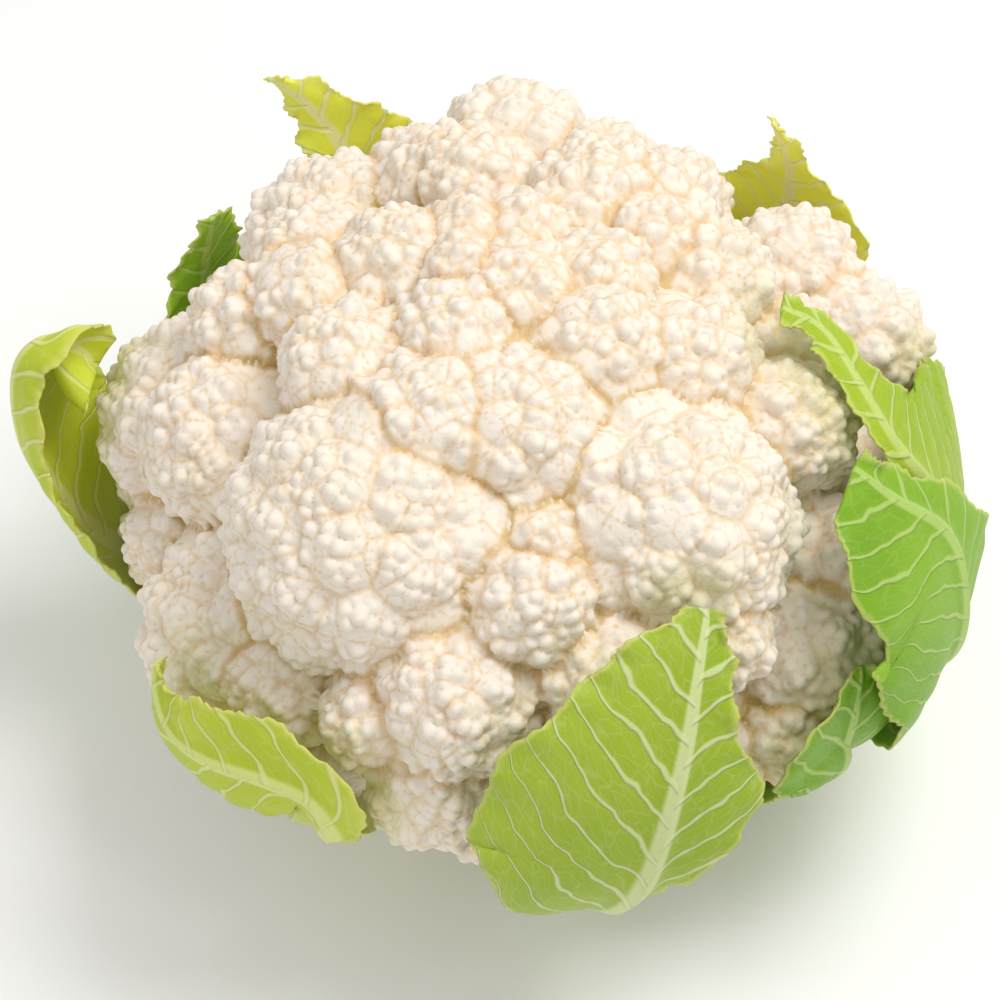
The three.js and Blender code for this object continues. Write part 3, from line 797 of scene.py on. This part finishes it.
def blade_middle(leaf, along, sides, serial):
    """The middle of the blade's thickness: places across the envelope, lifted off it by the leaf's distance,
    by its tuck and waves, which grow with the square of the side, and by a frill, which grows with its fourth
    power, or as far as the florets need."""
    rows, root, across = leaf_spine(leaf, along)
    lift, left, right = rows[:, 2:3], rows[:, 3:4], rows[:, 4:5]
    length = np.linalg.norm(np.diff(root, axis=0), axis=1).sum()
    side = sides[None]
    width = np.where(side < 0, left, right)
    at_edge = ramp(np.abs(side), 0.7, 1)
    reach = np.abs(side) * width + at_edge * tooth_reach(along, length, serial)[:, None]
    tuck = np.where(side < 0, *leaf["tuck"])
    turns = 2 * np.pi * leaf["waves"] * along[:, None]
    wave = leaf["ruffle"] * (1 + np.sin(turns + 2 * side))
    frill = FRILL * side ** 4 * np.sin(FRILL_WAVES * turns + 3 * side + serial)
    proud = lift + (wave - tuck) * side ** 2 + frill
    aside = np.sign(side) * np.maximum(reach, 0)
    points = laid_on_envelope(root[:, None] + across[:, None] * aside[..., None])
    outward = outward_at(points)
    climb = climb_over_florets(points, outward)
    points = points + outward * np.maximum(proud, climb)[..., None]
    return points, np.sign(side) * reach, width


def leaf_shape(leaf, serial):
    """A leaf: the blade's two faces on either side of its middle, closed round the rim. The outer face has
    the midrib, a round ridge, and swells a little between the side veins. The blade thins to its edge."""
    along = np.linspace(ROOT_OVERLAP, 1, LEAF_ROWS)
    even = np.linspace(-1, 1, LEAF_COLUMNS)
    sides = np.sign(even) * np.abs(even) ** CLOSER_AT_EDGE
    middle, across, width = blade_middle(leaf, along, sides, serial)
    spine = middle[:, LEAF_COLUMNS // 2]
    length = np.concatenate([[0], np.cumsum(np.linalg.norm(np.diff(spine, axis=0), axis=1))])
    outward = unit(np.cross(np.gradient(middle, axis=1), np.gradient(middle, axis=0)))
    root_share = np.sqrt(np.clip(along, 0, 1))[:, None]
    rib_height = RIB_HEIGHT[0] + (RIB_HEIGHT[1] - RIB_HEIGHT[0]) * root_share
    rib_reach = RIB_REACH[0] + (RIB_REACH[1] - RIB_REACH[0]) * root_share
    away = np.clip(np.abs(across) / rib_reach, 0, 1)
    rib = rib_height * (1 - away) ** 1.25 * (1 + 0.35 * away)
    edge = width * (1 - np.abs(sides)[None])
    half = 0.5 * BLADE_THICKNESS * (0.35 + 0.65 * ramp(edge, 0, 3))
    vein_place = length[:, None] - VEIN_SLANT * np.abs(across) - VEIN_BEND * across ** 2
    shift = np.where(across < 0, 0.0, 0.5 * np.pi)
    swell = SWELL * np.abs(np.sin(np.pi * vein_place / VEIN_SPACING + shift))
    swell = swell * ramp(np.abs(across), *SWELL_FROM_RIB) * ramp(edge, *SWELL_FROM_EDGE)
    inner = middle - outward * (half - swell)[..., None]
    outer = middle + outward * (half + rib + swell)[..., None]
    points = np.concatenate([inner.reshape(-1, 3), outer.reshape(-1, 3)])
    twice = {
        "across": across,
        "along": np.repeat(length[:, None], LEAF_COLUMNS, 1),
        "edge": edge,
        "share": np.repeat(along[:, None], LEAF_COLUMNS, 1),
    }
    marks = {mark: np.tile(values.ravel(), 2) for mark, values in twice.items()}
    marks["outer"] = np.repeat([0.0, 1.0], middle.shape[0] * middle.shape[1])
    return points, shell_faces(LEAF_ROWS, LEAF_COLUMNS), marks


def shell_faces(rows, columns):
    """The faces of a closed shell of two grids, the inner one first: both grids and the rim between them."""
    shift = rows * columns
    i, j = np.meshgrid(np.arange(rows - 1), np.arange(columns - 1), indexing="ij")
    a = (i * columns + j).ravel()
    b, c, d = a + 1, a + columns + 1, a + columns
    inner = np.stack([a, d, c, b], axis=-1)
    outer = np.stack([a, b, c, d], axis=-1) + shift
    first_row = np.arange(columns - 1)
    last_side = np.arange(rows - 1) * columns + columns - 1
    last_row = (rows - 1) * columns + np.arange(columns - 1, 0, -1)
    first_side = np.arange(rows - 1, 0, -1) * columns
    rim = np.concatenate([first_row, last_side, last_row, first_side])
    following = np.roll(rim, -1)
    wall = np.stack([rim, following, following + shift, rim + shift], axis=-1)
    return np.concatenate([inner, outer, wall])


# Each leaf's slot and green.
LEAF_FINISHES = {
    "leaf_front": ("leaf", "yellow"),
    "leaf_front_right": ("leaf_outer", "full"),
    "leaf_right_outer": ("leaf_outer", "full"),
    "leaf_right_inner": ("leaf", "bright"),
    # These two take the back green, lightened with painted light shining through them.
    "leaf_back_right": ("leaf", "back"),
    "leaf_back": ("leaf", "back"),
    "leaf_back_left": ("leaf", "full"),
    # These two take the pale green, lightened with painted light shining through them.
    "leaf_left": ("leaf", "pale"),
    "leaf_front_left": ("leaf", "pale"),
}


def make_leaves(leaf_shapes, skins):
    """A piece for each leaf, in its green skin."""
    for name, shape in leaf_shapes.items():
        slot_name, green = LEAF_FINISHES[name]
        dress(add_mesh(name + "_dressed", *shape), name, skins[green])


# Materials

class Tree:
    """Short calls that add nodes to a shader tree and join them. A value is a number, colour or socket."""

    def __init__(self, tree):
        self.tree = tree

    def feed(self, value, socket):
        """Joins an output to the socket, or sets the socket to a number or colour."""
        if isinstance(value, bpy.types.NodeSocket):
            self.tree.links.new(value, socket)
        elif value is not None:
            socket.default_value = value

    def add(self, kind, inputs=None, **settings):
        """A node of that kind with its settings, and its inputs by name."""
        node = self.tree.nodes.new(kind)
        for setting, value in settings.items():
            setattr(node, setting, value)
        for socket, value in (inputs or {}).items():
            self.feed(value, node.inputs[socket])
        return node

    def math(self, operation, first, second=None, third=None):
        """The result of a sum on one to three values."""
        node = self.add("ShaderNodeMath", operation=operation)
        for value, socket in zip((first, second, third), node.inputs):
            self.feed(value, socket)
        return node.outputs[0]

    def band(self, value, start, end):
        """A smooth step of a value: 0 at start and 1 at end."""
        node = self.add("ShaderNodeMapRange", interpolation_type="SMOOTHSTEP")
        self.feed(value, node.inputs["Value"])
        self.feed(start, node.inputs["From Min"])
        self.feed(end, node.inputs["From Max"])
        return node.outputs["Result"]

    def mix(self, share, first, second):
        """One colour turned into the other by a share."""
        node = self.add("ShaderNodeMix", data_type="RGBA")
        self.feed(share, node.inputs[0])
        self.feed(first, node.inputs[6])
        self.feed(second, node.inputs[7])
        return node.outputs[2]

    def tint(self, mask, share, colour, other):
        """A colour turned into another by a mask times a share."""
        return self.mix(self.product(mask, share), colour, other)

    def mark(self, name):
        """One of the piece's own float attributes."""
        return self.add("ShaderNodeAttribute", attribute_name=name).outputs["Fac"]

    def noise(self, scale, detail=3.0, roughness=0.5, vector=None):
        """Soft noise between 0 and 1, on Object coordinates unless other ones are given."""
        place = vector or self.add("ShaderNodeTexCoord").outputs["Object"]
        inputs = {"Vector": place, "Scale": scale, "Detail": detail, "Roughness": roughness}
        return self.add("ShaderNodeTexNoise", inputs).outputs["Fac"]

    def product(self, first, second):
        """One value times another."""
        return self.math("MULTIPLY", first, second)

    def cell_edges(self, place, scale):
        """The distance from the edges of random cells."""
        inputs = {"Vector": place, "Scale": scale}
        return self.add("ShaderNodeTexVoronoi", inputs, feature="DISTANCE_TO_EDGE").outputs["Distance"]

    def bump(self, height, strength, distance, normal=None):
        """A normal tilted by a height, over that distance in metres."""
        inputs = {"Height": height, "Strength": strength, "Distance": distance, "Normal": normal}
        return self.add("ShaderNodeBump", inputs).outputs[0]

    def use(self, effect, socket, value):
        """The outputs of a node group with that value in one of its inputs."""
        return self.add("ShaderNodeGroup", {socket: value}, node_tree=effect).outputs

    def finish(self, shader, colour, roughness, normal):
        """The colour, roughness and normal of a skin go to its shader."""
        self.feed(colour, shader.inputs["Base Color"])
        self.feed(roughness, shader.inputs["Roughness"])
        self.feed(normal, shader.inputs["Normal"])


def group(name, inputs, outputs):
    """An empty node group with named sockets, and its tree, group input and group output."""
    tree = bpy.data.node_groups.new(name, "ShaderNodeTree")
    for socket, (kind, value) in inputs.items():
        made = tree.interface.new_socket(socket, in_out="INPUT", socket_type=kind)
        made.default_value = value
    for socket, kind in outputs.items():
        tree.interface.new_socket(socket, in_out="OUTPUT", socket_type=kind)
    tools = Tree(tree)
    return tree, tools, tools.add("NodeGroupInput").outputs, tools.add("NodeGroupOutput").inputs


def new_material(name):
    """A new material with its tools and its principled shader."""
    made = bpy.data.materials.new(name)
    made.use_nodes = True
    return made, Tree(made.node_tree), made.node_tree.nodes["Principled BSDF"]


FLOAT = "NodeSocketFloat"

CREAM = (0.88, 0.80, 0.70, 1)
WARM_CREAM = (0.87, 0.76, 0.59, 1)
# Tan for painted shade and bounced light in the curd's creases, folds and meetings of florets.
CREVICE_SHADE_TAN = (0.69, 0.42, 0.12, 1)
# Olive deep in the meetings of florets: partly the core's own tissue, partly painted shade.
GAP_TISSUE_AND_SHADE = (0.46, 0.36, 0.10, 1)
# Yellow-green for painted light bounced off and through the leaves onto the florets.
LEAF_BOUNCE_LIGHT = (0.62, 0.58, 0.22, 1)
CORE = (0.78, 0.67, 0.49, 1)
FLESH = (0.86, 0.84, 0.62, 1)
CUT = (0.90, 0.88, 0.72, 1)
FIBRE = (0.72, 0.72, 0.40, 1)
SKIN = (0.68, 0.76, 0.36, 1)
LEAF_ROOT = (0.74, 0.80, 0.46, 1)
LEAF_RIM = (0.72, 0.70, 0.22, 1)
FLOOR = (0.97, 0.97, 0.97, 1)

# Each leaf green's blade, its deeper patches and its veins.
GREENS = {
    "yellow": ((0.36, 0.48, 0.030, 1), (0.29, 0.42, 0.015, 1), (0.66, 0.72, 0.36, 1)),
    "bright": ((0.36, 0.50, 0.015, 1), (0.30, 0.45, 0.010, 1), (0.57, 0.68, 0.20, 1)),
    # The pale and back greens are lighter than the leaves' own green: painted light shining through the thin
    # leaves from above.
    "pale": ((0.54, 0.62, 0.030, 1), (0.45, 0.56, 0.020, 1), (0.74, 0.78, 0.28, 1)),
    "back": ((0.78, 0.84, 0.070, 1), (0.66, 0.74, 0.050, 1), (0.88, 0.88, 0.42, 1)),
    "full": ((0.23, 0.44, 0.014, 1), (0.17, 0.36, 0.008, 1), (0.46, 0.62, 0.16, 1)),
}


def grain_group():
    """Fine grain for living surfaces: a height and a soft mottle, both from noise."""
    tree, tools, given, out = group("Grain", {"Scale": (FLOAT, 1300.0)}, {"Height": FLOAT, "Mottle": FLOAT})
    place = tools.add("ShaderNodeTexCoord").outputs["Object"]
    inputs = {"Vector": place, "Scale": given["Scale"], "Detail": 1.0}
    tools.feed(tools.add("ShaderNodeTexNoise", inputs).outputs["Fac"], out["Height"])
    tools.feed(tools.noise(70.0, 1.0), out["Mottle"])
    return tree


def vein_group():
    """A leaf's veins, from its marks in millimetres. Side veins leave the midrib at a steady spacing and bend
    towards the tip, finer ones run between them, and a net of cells fills the rest."""
    tree, tools, given, out = group(
        "Veins", {"Spacing": (FLOAT, 12.0)},
        {"Side Veins": FLOAT, "Net": FLOAT, "Midrib": FLOAT, "Height": FLOAT})
    across = tools.mark("across")
    along = tools.mark("along")
    away = tools.math("ABSOLUTE", across)
    place = tools.add("ShaderNodeCombineXYZ", {"X": across, "Y": along}).outputs[0]
    wander = tools.math("SUBTRACT", tools.noise(0.09, 2.0, 0.5, place), 0.5)
    leaving = tools.math("SUBTRACT", along, tools.product(away, VEIN_SLANT))
    bend = tools.product(tools.product(away, away), VEIN_BEND)
    leaving = tools.math("SUBTRACT", leaving, bend)
    leaving = tools.math("ADD", leaving, tools.product(wander, 7.0))
    left = tools.math("LESS_THAN", across, 0.0)
    steps = tools.math("DIVIDE", leaving, given["Spacing"])
    phase = tools.math("ADD", steps, tools.product(left, 0.5))
    off = tools.math("ABSOLUTE", tools.math("SUBTRACT", tools.math("FRACT", phase), 0.5))
    distance = tools.product(tools.product(off, given["Spacing"]), 0.72)
    thickness = tools.math("SUBTRACT", 0.75, tools.product(away, 0.015))
    side_veins = tools.band(distance, thickness, tools.product(thickness, 0.25))
    started = tools.band(tools.mark("share"), 0.16, 0.34)
    side_veins = tools.product(side_veins, started)
    warped = tools.add("ShaderNodeCombineXYZ", {"X": across, "Y": tools.product(leaving, 1.5)}).outputs[0]
    coarse_net = tools.band(tools.cell_edges(warped, 0.27), 0.075, 0.0)
    fine_net = tools.product(tools.band(tools.cell_edges(warped, 0.8), 0.11, 0.0), 0.35)
    net = tools.product(tools.math("MAXIMUM", coarse_net, fine_net), started)
    root_share = tools.math("SQRT", tools.math("MAXIMUM", tools.mark("share"), 0.0))
    rib_half = tools.math("SUBTRACT", 6.2, tools.product(root_share, 5.4))
    midrib = tools.band(away, rib_half, tools.product(rib_half, 0.55))
    raised = tools.math("ADD", side_veins, tools.product(net, 0.08))
    facing = tools.math("SUBTRACT", tools.product(tools.mark("outer"), 1.6), 0.6)
    tools.feed(side_veins, out["Side Veins"])
    tools.feed(net, out["Net"])
    tools.feed(midrib, out["Midrib"])
    tools.feed(tools.product(raised, facing), out["Height"])
    return tree


def curd_material(grain):
    """The florets: cream with warmer patches; tan in the fine creases, the folds and where florets meet, all
    painted shade and bounced light; olive deep in the meetings, partly the core's tissue and partly painted
    shade; and painted light bounced off the leaves near them.
    """
    made, tools, shader = new_material("curd_skin")
    grains = tools.use(grain, "Scale", 900.0)
    patchy = grains["Mottle"]
    deep = tools.mark("deep")
    gap = tools.band(tools.mark("gap"), 0.15, 0.75)
    skin = tools.tint(tools.band(patchy, 0.35, 0.7), 0.3, CREAM, WARM_CREAM)
    crease_share = tools.math("MULTIPLY_ADD", patchy, 0.3, 0.25)
    # Painted shade and bounced light: tan in the fine creases, the folds and the meetings of florets.
    skin = tools.tint(tools.band(tools.mark("crease"), 0.15, 0.85), crease_share, skin, CREVICE_SHADE_TAN)
    skin = tools.tint(tools.band(tools.mark("fold"), 0.12, 0.75), 0.4, skin, CREVICE_SHADE_TAN)
    skin = tools.tint(gap, tools.math("MULTIPLY_ADD", deep, 0.4, 0.5), skin, CREVICE_SHADE_TAN)
    # Olive deep in the meetings: partly the core's own tissue, partly painted shade.
    skin = tools.tint(tools.product(gap, deep), 0.7, skin, GAP_TISSUE_AND_SHADE)
    # Painted light bounced off and through the leaves: florets close to a leaf turn yellow-green.
    skin = tools.tint(tools.band(tools.mark("leaf_bounce"), 0.05, 0.9), 0.5, skin, LEAF_BOUNCE_LIGHT)
    tools.finish(shader, skin, 0.62, tools.bump(grains["Height"], 0.55, 0.0003))
    return made


def core_material(grain):
    """The core and its branches: dim cream between the florets, pale flesh on the branches."""
    made, tools, shader = new_material("curd_flesh")
    grains = tools.use(grain, "Scale", 400.0)
    colour = tools.mix(tools.mark("stem"), CORE, FLESH)
    colour = tools.tint(grains["Mottle"], 0.35, colour, WARM_CREAM)
    tools.finish(shader, colour, 0.6, tools.bump(grains["Height"], 0.3, 0.0004))
    return made


def leaf_material(name, blade, deep, vein, veins, grain):
    """A leaf's skin: a blade between two greens, brighter inside, with pale veins, root and teeth."""
    made, tools, shader = new_material(name)
    lines = tools.use(veins, "Spacing", VEIN_SPACING)
    grains = tools.use(grain, "Scale", 1800.0)
    bright = tuple(min(1.0, 1.25 * c) for c in blade[:3]) + (1,)
    colour = tools.mix(tools.band(tools.noise(28.0), 0.35, 0.65), blade, deep)
    colour = tools.tint(tools.math("SUBTRACT", 1.0, tools.mark("outer")), 0.55, colour, bright)
    colour = tools.tint(lines["Net"], 0.16, colour, vein)
    colour = tools.tint(lines["Side Veins"], 0.75, colour, vein)
    colour = tools.tint(lines["Midrib"], 0.8, colour, vein)
    colour = tools.tint(tools.band(tools.mark("share"), 0.42, 0.05), 0.75, colour, LEAF_ROOT)
    colour = tools.tint(tools.band(tools.mark("edge"), 1.3, 0.1), 0.5, colour, LEAF_RIM)
    veins_up = tools.bump(lines["Height"], 0.7, 0.00045)
    tools.finish(shader, colour, 0.46, tools.bump(grains["Height"], 0.25, 0.00015, veins_up))
    shader.inputs["Specular IOR Level"].default_value = 0.3
    return made


def stalk_material(grain):
    """The stalk: pale green skin, and under it the cut face with a ring of fibres round a paler pith."""
    made, tools, shader = new_material("stalk_flesh")
    grains = tools.use(grain, "Scale", 900.0)
    place = tools.add("ShaderNodeSeparateXYZ", {"Vector": tools.add("ShaderNodeTexCoord").outputs["Object"]})
    x, y, z = place.outputs
    level = tools.math("SQRT", tools.math("ADD", tools.product(x, x), tools.product(y, y)))
    ring = tools.product(tools.band(level, 0.0125, 0.0145), tools.band(level, 0.0185, 0.0165))
    turn = tools.math("ARCTAN2", y, x)
    bundles = tools.band(tools.math("SINE", tools.product(turn, 46.0)), -0.2, 0.7)
    face = tools.tint(ring, tools.math("MULTIPLY_ADD", bundles, 0.5, 0.3), CUT, FIBRE)
    face = tools.mix(tools.band(level, 0.0195, 0.021), face, SKIN)
    skin = tools.mix(grains["Mottle"], SKIN, FLESH)
    colour = tools.mix(tools.band(z, 0.0001, 0.0008), face, skin)
    tools.finish(shader, colour, 0.55, tools.bump(grains["Height"], 0.35, 0.0003))
    return made


# The stage

VIEW_DOWN = 50.0
VIEW_DISTANCE = 0.680
VIEW_TARGET = (-0.004, 0.0, 0.058)
VIEW_LENS = 120.0
SENSOR_WIDTH = 36.0

# Each light's place, size, power and colour, and the height that they face.
LIGHTS = {
    "key": ((0.34, 0.05, 0.88), 0.45, 4.7, (1.0, 0.985, 0.96)),
    "fill": ((-0.6, -0.7, 0.6), 0.9, 1.0, (0.97, 0.99, 1.0)),
}
LIT_HEIGHT = 0.06
SURROUNDINGS = 0.63
FLOOR_REACH = 3.0


def make_camera():
    """The camera of the photograph: it looks along +Y and down at the head."""
    camera = bpy.data.cameras.new("camera")
    camera.lens = VIEW_LENS
    camera.sensor_width = SENSOR_WIDTH
    camera.clip_start = 0.01
    holder = bpy.data.objects.new("camera", camera)
    tilt = math.radians(VIEW_DOWN)
    x, y, z = VIEW_TARGET
    holder.location = (x, y - VIEW_DISTANCE * math.cos(tilt), z + VIEW_DISTANCE * math.sin(tilt))
    holder.rotation_euler = (math.pi / 2 - tilt, 0, 0)
    bpy.context.collection.objects.link(holder)
    bpy.context.scene.camera = holder


def area_light(name, place, size, power, colour):
    """A square soft light that faces the head."""
    light = bpy.data.lights.new(name, "AREA")
    light.size = size
    light.energy = power
    light.color = colour
    holder = bpy.data.objects.new(name, light)
    x, y, z = place
    holder.location = place
    level = math.hypot(x, y)
    holder.rotation_euler = (math.atan2(level, z - LIT_HEIGHT), 0, math.atan2(x, -y))
    bpy.context.collection.objects.link(holder)


def make_stage():
    """A plain pale floor, even white surroundings, a soft key light at the upper right and a weak fill."""
    corners = np.array([(-1, -1, 0), (1, -1, 0), (1, 1, 0), (-1, 1, 0)]) * FLOOR_REACH / METRES
    floor = add_mesh("floor", corners, np.array([(0, 1, 2, 3)]), {})
    made, _, shader = new_material("floor_pale")
    shader.inputs["Base Color"].default_value = FLOOR
    shader.inputs["Roughness"].default_value = 0.8
    floor.data.materials.append(made)
    world = bpy.data.worlds.new("surroundings")
    world.use_nodes = True
    background = world.node_tree.nodes["Background"].inputs
    background["Color"].default_value = (1, 1, 1, 1)
    background["Strength"].default_value = SURROUNDINGS
    bpy.context.scene.world = world
    bpy.context.scene.view_settings.view_transform = "Standard"
    for name, light in LIGHTS.items():
        area_light(name, *light)


grain = grain_group()
veins = vein_group()
leaf_skins = {green: leaf_material("leaf_" + green + "_green", *colours, veins, grain)
              for green, colours in GREENS.items()}
flesh = core_material(grain)

leaf_shapes = {name: leaf_shape(leaf, serial) for serial, (name, leaf) in enumerate(LEAVES.items())}
make_florets(curd_material(grain), leaf_shapes)
make_core(flesh)
make_branches(flesh)
make_stalk(stalk_material(grain))
make_leaves(leaf_shapes, leaf_skins)
make_camera()
make_stage()
